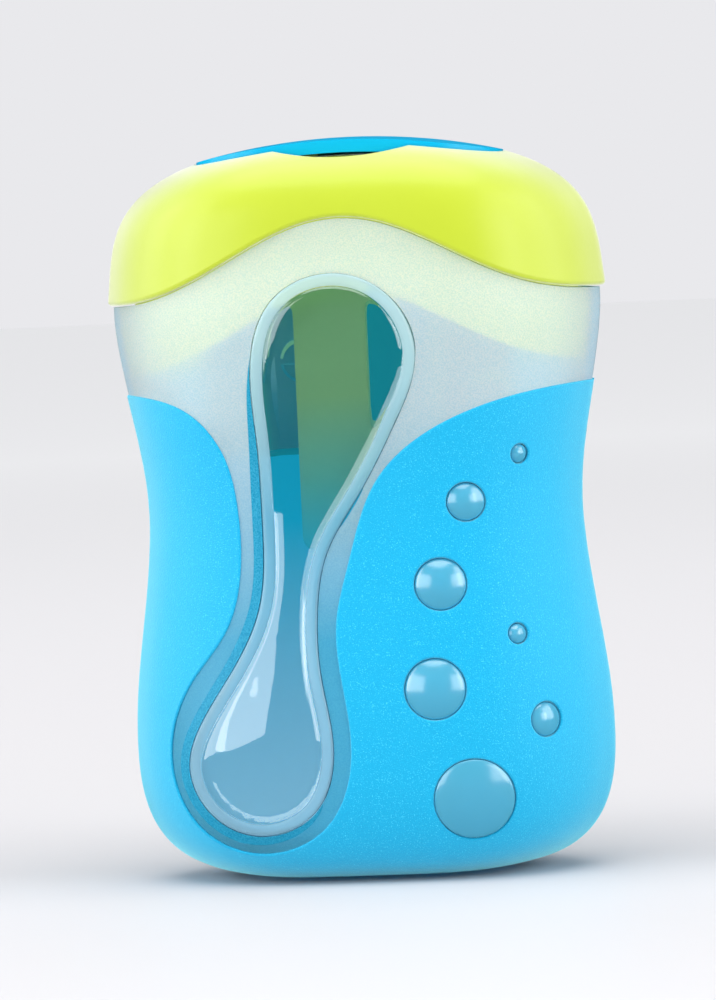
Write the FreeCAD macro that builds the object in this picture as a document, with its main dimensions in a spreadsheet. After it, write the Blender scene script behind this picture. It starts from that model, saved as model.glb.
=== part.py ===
"""Two-size canister pencil sharpener with a flip cover, a soft grip and a lift-off cap.

Millimetres, +Z up, front towards -Y, origin in the middle of the face it stands on.
"""
import FreeCAD, Part
import Sketcher

import math
import os

from FreeCAD import Placement, Rotation, Vector

UP = Vector(0, 0, 1)
RIGHT = Vector(1, 0, 0)
BACK = Vector(0, 1, 0)
FAR = 60.0  # longer than the sharpener's width, used for cutting blocks

doc = FreeCAD.newDocument("CanisterSharpener")

# ---------------------------------------------------------------- driving dimensions
DIMENSIONS = [
    # canister and cap, seen from the front
    ("belly_half_width", 24.05),
    ("waist_half_width", 21.8),
    ("shoulder_half_width", 24.6),
    ("cap_half_width", 25.0),
    ("belly_height", 13.8),
    ("waist_height", 36.5),
    ("split_height", 57.4),
    ("total_height", 73.35),
    ("foot_sag", 0.1),
    ("depth_ratio", 0.556),
    ("canister_top", 66.6),
    ("wave_rise", 7.9),
    ("wave_gap", 0.15),
    # walls
    ("under_grip_offset", 0.8),
    ("bare_offset", 0.2),
    ("canister_inner_offset", 2.0),
    ("skirt_outer_offset", 2.35),
    ("skirt_inner_offset", 3.35),
    ("skirt_drop", 7.0),
    ("cap_wall", 1.4),
    ("cap_ceiling", 67.6),
    ("plate_thickness", 1.6),
    ("plate_half_width", 19.2),
    # window
    ("bulb_upper_x", -1.1),
    ("bulb_upper_z", 51.9),
    ("bulb_upper_radius", 6.9),
    ("bulb_lower_x", -10.2),
    ("bulb_lower_z", 12.3),
    ("bulb_lower_radius", 6.2),
    ("rim_width", 1.25),
    ("rim_recess", 0.35),
    ("grip_margin", 2.9),
    ("back_band", 9.1),
    ("edge_round", 0.2),
    ("cap_edge_round", 0.4),
    ("dome_height", 0.75),
    ("dome_gap", 0.05),
    ("foot_height", 0.3),
    # flip cover
    ("cover_half_length", 15.35),
    ("cover_half_width", 7.6),
    ("cover_gap", 0.25),
    ("cover_thickness", 1.25),
    ("cover_slot", 0.4),
    ("crown_long", 62.0),
    ("crown_short", 90.0),
    ("notch_half_width", 8.0),
    ("notch_floor", 71.3),
    ("hinge_y", 7.2),
    ("hinge_z", 70.4),
    ("pin_radius", 0.5),
    ("pin_length", 11.6),
    ("knuckle_radius", 0.95),
    ("knuckle_half_length", 3.9),
    # sharpeners
    ("standard_x", -9.2),
    ("jumbo_x", 7.4),
    ("standard_hole", 8.2),
    ("jumbo_hole", 11.6),
    ("cap_hole_easing", 0.4),
    ("standard_block_width", 12.4),
    ("jumbo_block_width", 16.4),
    ("standard_block_height", 24.0),
    ("jumbo_block_height", 31.0),
    ("block_wall", 2.0),
    ("block_breakout", 0.45),
    ("cone_tip", 1.6),
    ("blade_thickness", 0.5),
    ("screw_radius", 1.25),
    ("screw_head_radius", 2.2),
    ("screw_length", 3.6),
    ("post_left", -5.2),
    ("post_right", 1.9),
    ("post_bottom", 32.0),
    ("post_front", 9.2),
    ("post_thickness", 1.6),
    ("post_corner", 2.4),
]

sheet = doc.addObject("Spreadsheet::Sheet", "Sheet")
for row, (alias, value) in enumerate(DIMENSIONS, start=1):
    sheet.set("A%d" % row, alias)
    sheet.set("B%d" % row, str(value))
    sheet.setAlias("B%d" % row, alias)
doc.recompute()


def size(alias):
    """The value of one driving dimension."""
    return float(sheet.get(alias))


# ---------------------------------------------------------------- the body's form
PLAN_POWER_X = 4.0  # flat front with a distinct shoulder
PLAN_POWER_Y = 1.28  # nearly straight flanks that meet in a rounded side
FOOT_POWERS = (2.6, 5.0)  # roundness of the base, seen from the front
CROWN_POWERS = (4.0, 2.05)  # roundness of the cap's top, seen from the front
CROWN_DEPTH_POWER = 6.5  # the same from the side, where the shoulder is tighter
CROWN_DRAFT = 0.06  # how far the cap's sides lean in over its height


def smooth_step(share):
    share = min(max(share, 0.0), 1.0)
    return share * share * (3.0 - 2.0 * share)


def cap_shrink(z, power):
    """Share of the cap's lower width that is left at height z."""
    rise = max(z - size("split_height"), 0.0) / (size("total_height") - size("split_height"))
    crown = max(1.0 - min(rise, 0.999) ** power, 0.0) ** (1.0 / CROWN_POWERS[1])
    return (1.0 - CROWN_DRAFT * rise) * crown


def cap_half_sizes(z):
    """Half width and half depth of the cap at height z."""
    half_width = size("cap_half_width")
    half_depth = half_width * size("depth_ratio")
    return (half_width * cap_shrink(z, CROWN_POWERS[0]),
            half_depth * cap_shrink(z, CROWN_DEPTH_POWER))


def canister_half_sizes(z):
    """Half width and half depth of the canister at height z."""
    belly, waist, shoulder = (size(name + "_half_width") for name in ("belly", "waist", "shoulder"))
    belly_z, waist_z, split_z = (size(name + "_height") for name in ("belly", "waist", "split"))
    if z > split_z:
        step = size("cap_half_width") - shoulder
        return tuple(half - step for half in cap_half_sizes(z))
    if z < belly_z:
        drop = (belly_z - z) / (belly_z + size("foot_sag"))
        half_width = belly * (1.0 - drop ** FOOT_POWERS[0]) ** (1.0 / FOOT_POWERS[1])
    elif z < waist_z:
        half_width = belly + (waist - belly) * smooth_step((z - belly_z) / (waist_z - belly_z))
    else:
        half_width = waist + (shoulder - waist) * smooth_step((z - waist_z) / (split_z - waist_z))
    return half_width, half_width * size("depth_ratio")


def plan_depth(share):
    """Depth of the plan outline, as a share of its half depth, at a share of its half width."""
    return max(1.0 - abs(share) ** PLAN_POWER_X, 0.0) ** (1.0 / PLAN_POWER_Y)


def plan_wire(half_width, half_depth, z):
    """The closed plan outline at height z."""
    steps = 8
    quarter = [math.sin(0.5 * math.pi * step / steps) for step in range(steps + 1)]
    front = [(share, -plan_depth(share)) for share in quarter]
    right_back = [(share, plan_depth(share)) for share in reversed(quarter[:-1])]
    half = front + right_back
    left = [(-x, y) for x, y in reversed(half[1:-1])]
    points = [Vector(x * half_width, y * half_depth, z) for x, y in half + left]
    curve = Part.BSplineCurve()
    curve.interpolate(points, PeriodicFlag=True)
    return Part.Wire(curve.toShape())


def loft(levels):
    """A solid through plan outlines given as (height, half width, half depth)."""
    wires = [plan_wire(half_width, half_depth, z) for z, half_width, half_depth in levels]
    return Part.makeLoft(wires, True, False)


CANISTER_LEVELS = [0.0, 0.3, 1.0, 2.2, 4.0, 6.5, 9.8, 13.8, 18.0, 22.5, 27.0, 31.7, 36.5,
                   41.5, 46.5, 52.0, 57.4, 60.5, 63.5, 66.6]
CAP_SHARES = [0.0, 0.12, 0.26, 0.40, 0.52, 0.63, 0.73, 0.81, 0.87, 0.92, 0.955, 0.98]


def canister_envelope(offset):
    """The canister's outer form, moved inwards by offset, standing on the floor."""
    levels = []
    for z in CANISTER_LEVELS:
        half_width, half_depth = canister_half_sizes(z)
        levels.append((z, half_width - offset, half_depth - offset))
    return loft(levels)


def canister_inside(offset):
    """The canister's inner form: the outer one moved in by offset and up by it at the base."""
    levels = []
    for z in CANISTER_LEVELS:
        half_width, half_depth = canister_half_sizes(z)
        lift = offset * max(1.0 - z / size("belly_height"), 0.0)
        levels.append((z + lift, half_width - offset, half_depth - offset))
    return loft(levels)


def cap_envelope(offset, top_z):
    """The cap's form moved inwards by offset, up to top_z."""
    low = size("split_height") - 1.0
    crown = size("total_height") - offset
    levels = [(low, size("cap_half_width") - offset,
               size("cap_half_width") * size("depth_ratio") - offset)]
    for share in CAP_SHARES:
        outer_z = size("split_height") + share * (size("total_height") - size("split_height"))
        half_width, half_depth = cap_half_sizes(outer_z)
        z = size("split_height") + share * (crown - size("split_height"))
        if half_depth > offset + 0.5:
            levels.append((z, half_width - offset, half_depth - offset))
    block = Part.makeBox(2 * FAR, 2 * FAR, 2 * FAR, Vector(-FAR, -FAR, top_z - 2 * FAR))
    return loft(levels).common(block)


# ---------------------------------------------------------------- outlines seen from the front
def front_curve(points, closed=False):
    """A smooth curve in the XZ plane through points given as (x, z)."""
    curve = Part.BSplineCurve()
    curve.interpolate([Vector(x, 0, z) for x, z in points], PeriodicFlag=closed)
    return curve


def prism(wire, start_y, end_y):
    """A solid made by pushing a front outline from start_y to end_y."""
    face = Part.Face(wire)
    face.translate(Vector(0, start_y, 0))
    return face.extrude(Vector(0, end_y - start_y, 0))


def grown(curve, distance, count=48):
    """The same closed front outline, moved outwards by distance."""
    first, last = curve.FirstParameter, curve.LastParameter
    centre_area = Part.Face(Part.Wire(curve.toShape()))
    points = []
    for index in range(count):
        parameter = first + (last - first) * index / count
        point = curve.value(parameter)
        tangent = curve.tangent(parameter)[0]
        side = Vector(tangent.z, 0, -tangent.x).normalize()
        if centre_area.isInside(point + side * 0.05, 1e-4, True):
            side = side.negative()
        points.append(point + side * distance)
    return front_curve([(point.x, point.z) for point in points], closed=True)


def arc_points(x, z, radius, degrees):
    """Points on a circle in the XZ plane."""
    return [(x + radius * math.cos(math.radians(angle)), z + radius * math.sin(math.radians(angle)))
            for angle in degrees]


def window_curve():
    """The leaning drop of the window: a bulb at each end and a narrow neck between them."""
    upper = arc_points(size("bulb_upper_x"), size("bulb_upper_z"), size("bulb_upper_radius"),
                       (0, 45, 90, 135, 180))
    left_side = [(-7.9, 44.0), (-7.75, 36.0), (-8.5, 27.0), (-11.5, 20.9), (-15.0, 15.7)]
    lower = arc_points(size("bulb_lower_x"), size("bulb_lower_z"), size("bulb_lower_radius"),
                       (185, 225, 270, 315, 360))
    right_side = [(-4.8, 20.0), (-5.0, 27.0), (-3.8, 33.0), (-0.4, 38.7), (4.0, 46.5)]
    return front_curve(upper + left_side + lower + right_side, closed=True)


def ellipse_points(centre, semi_x, semi_z, degrees):
    """Points on an upright ellipse in the XZ plane."""
    return [(centre[0] + semi_x * math.cos(math.radians(angle)),
             centre[1] + semi_z * math.sin(math.radians(angle))) for angle in degrees]


def bare_front_curve():
    """The grip's front edge: left shoulder, round the window's lower bulb, right shoulder."""
    left_shoulder = ellipse_points((-20.9, 37.1), 9.6, 11.3, (90, 60, 30, 0))
    neck = [(-11.3, 31.0), (-12.9, 25.4), (-16.8, 20.2)]
    around_bulb = arc_points(size("bulb_lower_x"), size("bulb_lower_z"),
                             size("bulb_lower_radius") + size("grip_margin"),
                             (180, 225, 270, 315, 360))
    rise = [(-1.7, 20.0), (-2.0, 26.0)]
    right_shoulder = ellipse_points((24.0, 31.1), 24.75, 17.2, (180, 150, 120, 90))
    start, end = (-FAR / 2, left_shoulder[0][1]), (FAR / 2, right_shoulder[-1][1])
    return front_curve([start] + left_shoulder + neck + around_bulb + rise + right_shoulder + [end])


def bare_front_wire():
    """Outline of everything above the grip's front edge."""
    edge = bare_front_curve().toShape()
    left, right = (vertex.Point for vertex in edge.Vertexes)
    top_z = size("total_height")
    corners = [right, Vector(right.x, 0, top_z), Vector(left.x, 0, top_z), left]
    lines = [Part.makeLine(start, end) for start, end in zip(corners, corners[1:])]
    return Part.Wire(Part.sortEdges([edge] + lines)[0])


def wave_z(x, reach):
    """Height of the wavy split between cap and canister at distance x from the middle."""
    wave = 0.5 * (1.0 + math.cos(math.pi * min(abs(x) / reach, 1.0)))
    return size("split_height") + size("wave_rise") * wave ** 1.25


def below_wave(shift):
    """Everything below the wavy split, moved up by shift."""
    reach = size("cap_half_width")
    points = [(reach * step / 8.0, wave_z(reach * step / 8.0, reach) + shift)
              for step in range(-8, 9)]
    corners = [Vector(reach, 0, points[-1][1]), Vector(FAR, 0, points[-1][1]),
               Vector(FAR, 0, -FAR), Vector(-FAR, 0, -FAR),
               Vector(-FAR, 0, points[0][1]), Vector(-reach, 0, points[0][1])]
    edges = [front_curve(points).toShape()]
    edges += [Part.makeLine(start, end) for start, end in zip(corners, corners[1:])]
    return prism(Part.Wire(Part.sortEdges(edges)[0]), -FAR, FAR)


def above_back_edge():
    """The part of the back that the grip leaves bare: an even band under the wavy split."""
    reach = size("cap_half_width")
    points = [(reach * step / 8.0, wave_z(reach * step / 8.0, reach) - size("back_band"))
              for step in range(-8, 9)]
    edge_z = points[0][1]
    top_z = size("total_height")
    corners = [Vector(reach, 0, edge_z), Vector(FAR, 0, edge_z), Vector(FAR, 0, top_z),
               Vector(-FAR, 0, top_z), Vector(-FAR, 0, edge_z), Vector(-reach, 0, edge_z)]
    edges = [front_curve(points).toShape()]
    edges += [Part.makeLine(start, end) for start, end in zip(corners, corners[1:])]
    return prism(Part.Wire(Part.sortEdges(edges)[0]), 0, FAR)


def rounded(shape, radius, wanted):
    """The one solid in shape, with a fillet on each edge that passes the test wanted."""
    solid = shape.Solids[0]
    edges = []
    for edge in solid.Edges:
        middle = edge.valueAt((edge.FirstParameter + edge.LastParameter) / 2.0)
        if edge.Length > 0.3 and wanted(edge, middle):
            edges.append(edge)
    return solid.makeFillet(radius, edges)


# ---------------------------------------------------------------- document helpers
def add_shape(name, shape):
    """A free-form sub-part."""
    feature = doc.addObject("Part::Feature", name)
    feature.Label = name
    feature.Shape = shape
    return feature


def bind(feature, **expressions):
    for prop, expression in expressions.items():
        feature.setExpression(prop.replace("__", "."), expression)


def drilled(shape, x, radius, low_z, high_z):
    """shape with an upright hole on the pencil line."""
    return shape.cut(Part.makeCylinder(radius, high_z - low_z, Vector(x, 0, low_z), UP))


# ---------------------------------------------------------------- canister
# Domes: (x, z, radius), from the top one to the large one at the base.
DOMES = [(16.5, 41.5, 1.0), (11.2, 37.1, 1.95), (8.4, 29.2, 2.6), (15.7, 24.0, 1.05),
         (7.5, 19.0, 3.05), (18.1, 15.4, 1.75), (10.9, 8.0, 4.0)]


def front_point(x, z):
    """Point of the canister's front at (x, z)."""
    half_width, half_depth = canister_half_sizes(z)
    return Vector(x, -half_depth * plan_depth(x / half_width), z)


def front_normal(x, z):
    """Outward direction of the canister's front at (x, z)."""
    step = 0.2
    across = front_point(x + step, z) - front_point(x - step, z)
    upward = front_point(x, z + step) - front_point(x, z - step)
    return across.cross(upward).normalize()


HOLE_REACH = 2.5  # each way from the surface, enough to pass through the grip


def dome_cylinder(x, z, radius, reach):
    """A cylinder square to the front at (x, z), reaching as far below the surface as above it."""
    normal = front_normal(x, z)
    return Part.makeCylinder(radius, 2 * reach, front_point(x, z) - normal * reach, normal)


def on_front(point, tolerance=0.05):
    """True if point lies on the canister's outer front."""
    half_width, half_depth = canister_half_sizes(point.z)
    if point.y > 0 or abs(point.x) >= half_width:
        return False
    return abs(front_point(point.x, point.z).y - point.y) < tolerance


def on_grip_front_edge(edge, middle):
    """True for the outer edge that runs round the window and over both shoulders."""
    outline = bare_front_curve().toShape()
    seen = Part.Vertex(Vector(middle.x, 0, middle.z))
    return outline.distToShape(seen)[0] < 0.02 and on_front(middle)


def on_dome_hole(edge, middle):
    """True for the outer rim of each round hole in the grip."""
    for x, z, radius in DOMES:
        reach = (middle - front_point(x, z)).cross(front_normal(x, z)).Length
        if abs(reach - radius) < 0.01:
            return edge.Curve.TypeId != "Part::GeomLine" and on_front(middle)
    return False


DOME_ROOT = -2.0  # a dome's foot, below the grip's surface and inside the hard wall
DOME_SUNK = 0.15  # how far every dome sits lower than its own height
DOME_BROW = (0.3, 0.2)  # rounding of the brow: most in mm, and as a share of the radius
DOME_BROW_HEIGHT = 0.3  # share of the dome's height


def dome_top(radius):
    """Height of a dome's top over the grip: small domes are flatter."""
    return size("dome_height") * min(1.0, 0.55 + 0.15 * radius) - DOME_SUNK


def make_dome(index, x, z, radius, core):
    """One clear dome: a round boss with a rounded brow, standing on the hard canister wall."""
    radius -= size("dome_gap")
    top_z = dome_top(radius)
    brow = min(DOME_BROW[0], DOME_BROW[1] * radius)
    brow_z = DOME_BROW_HEIGHT * top_z
    low = DOME_ROOT
    corner = brow * (1.0 - math.sqrt(0.5))
    inner = radius - brow
    rise = top_z - brow_z
    ball_radius = (inner ** 2 + rise ** 2) / (2.0 * rise)
    half_angle = math.asin(inner / ball_radius) / 2.0
    between = Vector(ball_radius * math.sin(half_angle), 0,
                     top_z - ball_radius * (1.0 - math.cos(half_angle)))
    edges = [
        Part.makeLine(Vector(0, 0, low), Vector(radius, 0, low)),
        Part.makeLine(Vector(radius, 0, low), Vector(radius, 0, brow_z - brow)),
        Part.Arc(Vector(radius, 0, brow_z - brow), Vector(radius - corner, 0, brow_z - corner),
                 Vector(inner, 0, brow_z)).toShape(),
        Part.Arc(Vector(inner, 0, brow_z), between, Vector(0, 0, top_z)).toShape(),
        Part.makeLine(Vector(0, 0, top_z), Vector(0, 0, low)),
    ]
    boss = Part.Face(Part.Wire(edges)).revolve(Vector(), UP, 360)
    boss.Placement = Placement(front_point(x, z), Rotation(UP, front_normal(x, z)))
    return add_shape("bubble_%d" % index, boss.cut(core))


def make_canister():
    """Hard canister, grip, window lens and domes."""
    core = canister_envelope(size("under_grip_offset"))
    bare_front = prism(bare_front_wire(), -FAR, 0)
    grip_zone = Part.makeBox(2 * FAR, 2 * FAR, 2 * FAR, Vector(-FAR, -FAR, -FAR))
    grip_zone = grip_zone.cut(bare_front).cut(above_back_edge()).cut(core)
    outer = canister_envelope(0.0)

    floor = Part.makeBox(2 * FAR, 2 * FAR, FAR, Vector(-FAR, -FAR, size("foot_height") - FAR))
    grip = outer.common(grip_zone).cut(floor)
    grip = rounded(grip, size("edge_round"), on_grip_front_edge)
    for x, z, radius in DOMES:
        grip = grip.cut(dome_cylinder(x, z, radius, HOLE_REACH))
    grip = rounded(grip, size("edge_round"), on_dome_hole)
    add_shape("grip_overmould", grip)

    drop = window_curve()
    rim_wire = Part.Wire(grown(drop, size("rim_width")).toShape())
    opening = prism(rim_wire, -FAR, 0)
    inside = canister_inside(size("canister_inner_offset"))
    shell = canister_envelope(size("bare_offset")).cut(grip_zone).cut(inside)
    shell = shell.common(below_wave(0.0)).cut(opening)
    add_shape("canister_shell", shell)

    pane = prism(Part.Wire(drop.toShape()), -FAR, 0).common(outer)
    rim = opening.common(canister_envelope(size("rim_recess")))
    lens_back = canister_envelope(size("canister_inner_offset"))
    add_shape("window_lens", pane.fuse(rim).cut(lens_back).removeSplitter())

    for index, (x, z, radius) in enumerate(DOMES, start=1):
        make_dome(index, x, z, radius, core)


# ---------------------------------------------------------------- crowned top
def crown_solid(drop):
    """A barrel whose upper side is the cover's crowned top, lowered by drop."""
    long_radius = size("crown_long")
    short_radius = size("crown_short")
    top_z = size("total_height") - drop
    axis_z = size("total_height") - long_radius
    reach = size("cover_half_width") * 3.0
    sag = short_radius - math.sqrt(short_radius ** 2 - reach ** 2)
    front_top = Vector(0, -reach, top_z - sag)
    back_top = Vector(0, reach, top_z - sag)
    edges = [
        Part.Arc(front_top, Vector(0, 0, top_z), back_top).toShape(),
        Part.makeLine(back_top, Vector(0, reach, axis_z)),
        Part.makeLine(Vector(0, reach, axis_z), Vector(0, -reach, axis_z)),
        Part.makeLine(Vector(0, -reach, axis_z), front_top),
    ]
    profile = Part.Face(Part.Wire(edges))
    return profile.revolve(Vector(0, 0, axis_z), BACK, 360)


def racetrack(margin, low_z, high_z):
    """An upright prism with rounded ends, as large as the cover plus margin."""
    radius = size("cover_half_width") + margin
    straight = size("cover_half_length") - size("cover_half_width")
    tall = high_z - low_z
    shape = Part.makeBox(2 * straight, 2 * radius, tall, Vector(-straight, -radius, low_z))
    for x in (-straight, straight):
        shape = shape.fuse(Part.makeCylinder(radius, tall, Vector(x, 0, low_z), UP))
    return shape.removeSplitter()


def hinge_bar(radius, start_x, end_x):
    """A bar on the hinge line."""
    start = Vector(start_x, size("hinge_y"), size("hinge_z"))
    return Part.makeCylinder(radius, end_x - start_x, start, RIGHT)


# ---------------------------------------------------------------- cap
NOTCH_DEPTH = 1.2
SCOOP_RADIUS = 2.9  # swept by the cover's back edge
SCOOP_FLOOR = 69.2
SCOOP_TAPER = 5.0
SCOOP_MARGIN = 0.4  # past the straight part of the cover's back edge
SCOOP_NARROWING = (0.3, 0.9)  # how much thinner than the scoop its tapers start and end
KNUCKLE_ROOM = 1.75  # swept by the knuckle and its web
LUG_OUTER = 6.4  # half distance over the two hinge lugs
LUG_GAP = 0.25  # between knuckle and lug


def make_cap():
    """Outer cap: wavy lower edge, recess for the cover, pencil holes, finger notch, hinge."""
    shape = cap_envelope(0.0, size("total_height"))
    shape = shape.cut(below_wave(size("wave_gap")))
    shape = rounded(shape, size("cap_edge_round"),
                    lambda edge, middle: edge.Length > 2 * FAR and middle.z < size("cap_ceiling"))
    shape = shape.cut(cap_envelope(size("cap_wall"), size("cap_ceiling")))
    floor_drop = size("cover_thickness") + size("cover_slot")
    recess = racetrack(size("cover_gap"), size("cap_ceiling"), size("total_height") + 1.0)
    shape = shape.cut(recess.cut(crown_solid(floor_drop)))
    shape = shape.cut(finger_notch())
    shape = add_hinge_seat(shape)
    for name in ("standard", "jumbo"):
        hole = size(name + "_hole") / 2.0 + size("cap_hole_easing")
        shape = drilled(shape, size(name + "_x"), hole, size("cap_ceiling") - 1, size("total_height"))
    add_shape("cap_shell", shape)


def finger_notch():
    """A shallow scoop in the front rim for the finger that lifts the cover."""
    half_width = size("notch_half_width")
    depth = NOTCH_DEPTH
    radius = (half_width ** 2 + depth ** 2) / (2.0 * depth)
    start = Vector(0, -FAR, size("notch_floor") + radius)
    return Part.makeCylinder(radius, FAR - size("cover_half_width") + 1.0, start, BACK)


def add_hinge_seat(shape):
    """Room for the cover's back edge and knuckle, and the two lugs that hold the pin."""
    half_length = size("cover_half_length") - size("cover_half_width") + SCOOP_MARGIN
    scoop = hinge_bar(SCOOP_RADIUS, -half_length, half_length)
    for side in (-1, 1):
        start = Vector(side * half_length, size("hinge_y"), size("hinge_z"))
        wide, narrow = (SCOOP_RADIUS - less for less in SCOOP_NARROWING)
        taper = Part.makeCone(wide, narrow, SCOOP_TAPER, start, RIGHT * side)
        scoop = scoop.fuse(taper)
    slot = Part.makeBox(2 * half_length, SCOOP_RADIUS, size("total_height") - size("hinge_z"),
                        Vector(-half_length, size("hinge_y"), size("hinge_z")))
    scoop = scoop.fuse(slot)
    above = Part.makeBox(FAR, FAR, FAR, Vector(-FAR / 2, -FAR / 2, SCOOP_FLOOR))
    shape = shape.cut(scoop.common(above))
    knuckle = size("knuckle_half_length")
    lug_inner = knuckle + LUG_GAP
    shape = shape.cut(hinge_bar(KNUCKLE_ROOM, -lug_inner, lug_inner))
    radius = size("knuckle_radius")
    for start_x in (-LUG_OUTER, lug_inner):
        lug = hinge_bar(radius, start_x, start_x + LUG_OUTER - lug_inner)
        base = Part.makeBox(LUG_OUTER - lug_inner, 2 * radius, size("hinge_z") - size("cap_ceiling"),
                            Vector(start_x, size("hinge_y") - radius, size("cap_ceiling")))
        shape = shape.fuse(lug.fuse(base))
    return shape.cut(hinge_bar(size("pin_radius"), -size("pin_length") / 2, size("pin_length") / 2))


# ---------------------------------------------------------------- flip cover
WEB_HEIGHT = 1.9  # from the hinge line, more than the gap to the cover plate
BORE_PLAY = 0.05  # between hinge pin and knuckle
KNUCKLE_CLEARANCE = 0.2  # between the knuckle's web and the cap


def make_cover():
    """Crowned cover plate with its hinge knuckle."""
    plate = racetrack(0.0, size("cap_ceiling"), size("total_height") + 1.0)
    plate = plate.common(crown_solid(0.0)).cut(crown_solid(size("cover_thickness")))
    knuckle = size("knuckle_half_length")
    radius = size("knuckle_radius")
    barrel = hinge_bar(radius, -knuckle, knuckle)
    web = Part.makeBox(2 * knuckle, 2 * radius, WEB_HEIGHT,
                       Vector(-knuckle, size("hinge_y") - radius, size("hinge_z")))
    web = web.common(crown_solid(size("cover_thickness") / 2)).common(barrel_room())
    plate = plate.fuse(barrel).fuse(web)
    bore = hinge_bar(size("pin_radius") + BORE_PLAY, -knuckle - 1, knuckle + 1)
    add_shape("flip_cover", plate.cut(bore).removeSplitter())


def barrel_room():
    """The room that the knuckle and its web may fill."""
    return hinge_bar(KNUCKLE_ROOM - KNUCKLE_CLEARANCE, -FAR, FAR)


def make_hinge_pin():
    pin = doc.addObject("Part::Cylinder", "hinge_pin")
    pin.Label = "hinge_pin"
    pin.Placement = Placement(Vector(), Rotation(UP, RIGHT))
    bind(pin, Radius="Sheet.pin_radius", Height="Sheet.pin_length",
         Placement__Base__x="-Sheet.pin_length / 2", Placement__Base__y="Sheet.hinge_y",
         Placement__Base__z="Sheet.hinge_z")


# ---------------------------------------------------------------- carrier
def make_carrier():
    """Inner lime piece: skirt, top plate and the middle post in front of the blocks."""
    plate_low = size("cap_ceiling") - size("plate_thickness")
    skirt = carrier_form(size("skirt_outer_offset"))
    skirt = skirt.cut(below_wave(-size("skirt_drop")))
    hollow = carrier_form(size("skirt_inner_offset"))
    under_plate = Part.makeBox(2 * FAR, 2 * FAR, 2 * FAR, Vector(-FAR, -FAR, plate_low - 2 * FAR))
    shape = skirt.cut(hollow.common(under_plate))
    shape = shape.fuse(middle_post(plate_low))
    for name in ("standard", "jumbo"):
        hole = size(name + "_hole") / 2.0
        shape = drilled(shape, size(name + "_x"), hole, plate_low - 1, size("cap_ceiling") + 1)
    add_shape("carrier", shape.removeSplitter())


SKIRT_LEVELS = [46.5, 52.0, 57.4, 60.5, 63.5]  # heights that the skirt's form passes through


def carrier_form(offset):
    """Straight-fronted inner form, so that the skirt draws out of the canister's mouth."""
    mouth_z = size("split_height") + size("wave_rise")
    mouth_depth = canister_half_sizes(mouth_z)[1]
    levels = []
    for z in SKIRT_LEVELS:
        half_width, half_depth = canister_half_sizes(z)
        levels.append((z, half_width - offset, min(half_depth, mouth_depth) - offset))
    inset = offset - size("skirt_outer_offset")
    levels.append((size("cap_ceiling"), size("plate_half_width") - inset, mouth_depth - offset))
    return loft(levels)


def middle_post(top_z):
    """A flat upright post with rounded lower corners."""
    left, right, low = size("post_left"), size("post_right"), size("post_bottom")
    post = Part.makeBox(right - left, size("post_thickness"), top_z - low,
                        Vector(left, -size("post_front"), low))
    corners = [edge for edge in post.Edges
               if edge.BoundBox.ZMax < low + 0.01 and edge.BoundBox.YLength > 0.5]
    return post.makeFillet(size("post_corner"), corners)


# ---------------------------------------------------------------- sharpener blocks and blades
def sketch_on(body, name, plane_role):
    """A sketch on one of the body's own origin planes."""
    plane = [item for item in body.Origin.OriginFeatures if item.Role == plane_role][0]
    sketch = body.newObject("Sketcher::SketchObject", name)
    sketch.AttachmentSupport = [(plane, "")]
    sketch.MapMode = "FlatFace"
    return sketch


def closed_outline(sketch, corners):
    """A closed polygon in the sketch, its corners joined by coincident constraints."""
    count = len(corners)
    for index in range(count):
        start, end = corners[index], corners[(index + 1) % count]
        sketch.addGeometry(Part.LineSegment(Vector(*start, 0), Vector(*end, 0)), False)
    for index in range(count):
        sketch.addConstraint(Sketcher.Constraint("Coincident", index, 2, (index + 1) % count, 1))


THIN_WALL = 0.4  # the block's wall in front of and behind the hole, as a share of block_wall
NECK_SHARE = 0.2  # share of the block's height that the straight part of the hole takes
COLLAR_SHARE = 0.75  # share of that part that the full-depth collar takes


def block_geometry(name):
    """Sizes of a sharpener block in its own frame: pencil line on Z, top face at z = 0."""
    hole_radius = size(name + "_hole") / 2.0
    height = size(name + "_block_height")
    tip_radius = size("cone_tip") / 2.0
    breakout = size("block_breakout")
    collar = hole_radius + size("block_wall") * THIN_WALL
    return {
        "height": height,
        "hole_radius": hole_radius,
        "tip_radius": tip_radius,
        "top_front": -collar,
        "neck_z": -height * NECK_SHARE,
        "neck_front": -(hole_radius - breakout),
        "bottom_front": -(tip_radius - breakout),
        "back": collar,
    }


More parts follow.
